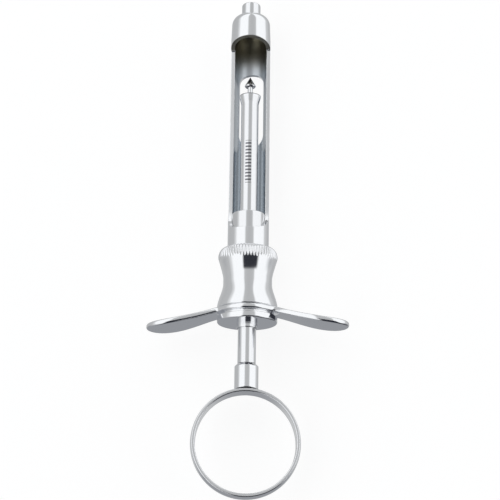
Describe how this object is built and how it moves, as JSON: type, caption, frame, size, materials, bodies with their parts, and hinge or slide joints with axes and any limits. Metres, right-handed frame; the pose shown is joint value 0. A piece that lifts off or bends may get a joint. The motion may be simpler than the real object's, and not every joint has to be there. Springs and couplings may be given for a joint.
{
  "type": "aspirating dental syringe",
  "caption": "Metal dental syringe with a windowed barrel for a glass cartridge, a sprung cup, a harpoon plunger with a thumb ring, and a two-wing finger grip on a waisted spool.",
  "frame": {"origin": "on the syringe's axis, at the needle seat: the front face of the nose, where the threaded needle adaptor begins", "axes": "+Y along the axis towards the needle, +X along the finger wings, +Z out of the cartridge window"},
  "size_m": [0.0616, 0.1593, 0.0186],
  "materials": {
    "polished_plate": "polished chrome plate with fine handling marks",
    "turned_steel": "polished stainless steel with faint turning lines",
    "spring_steel": "drawn spring wire, satin"
  },
  "bodies": {
    "syringe_body": {"needle_adaptor": "turned_steel", "barrel": "polished_plate", "cup_spring": "spring_steel", "spring_washer": "spring_steel", "finger_spool": "polished_plate", "finger_grip": "polished_plate", "grip_nut": "polished_plate", "guide_bush": "turned_steel"},
    "cup": {"cartridge_cup": "turned_steel"},
    "plunger": {"plunger_rod": "turned_steel", "harpoon": "turned_steel"},
    "ring": {"ring_collar": "polished_plate", "thumb_ring": "polished_plate"}
  },
  "joints": [
    {"name": "cup_slide", "type": "slide", "parent": "syringe_body", "child": "cup", "axis": [0, 1, 0], "range_m": [-0.0075, 0], "stiffness_N_per_m": 900, "springref_m": 0.009, "deforming": ["cup_spring"]},
    {"name": "plunger_slide", "type": "slide", "parent": "cup", "child": "plunger", "axis": [0, 1, 0], "range_m": [-0.0458, 0.0107]},
    {"name": "ring_turn", "type": "hinge", "parent": "plunger", "child": "ring", "pos_m": [0, -0.1188, 0], "axis": [0, 1, 0], "continuous": true}
  ]
}
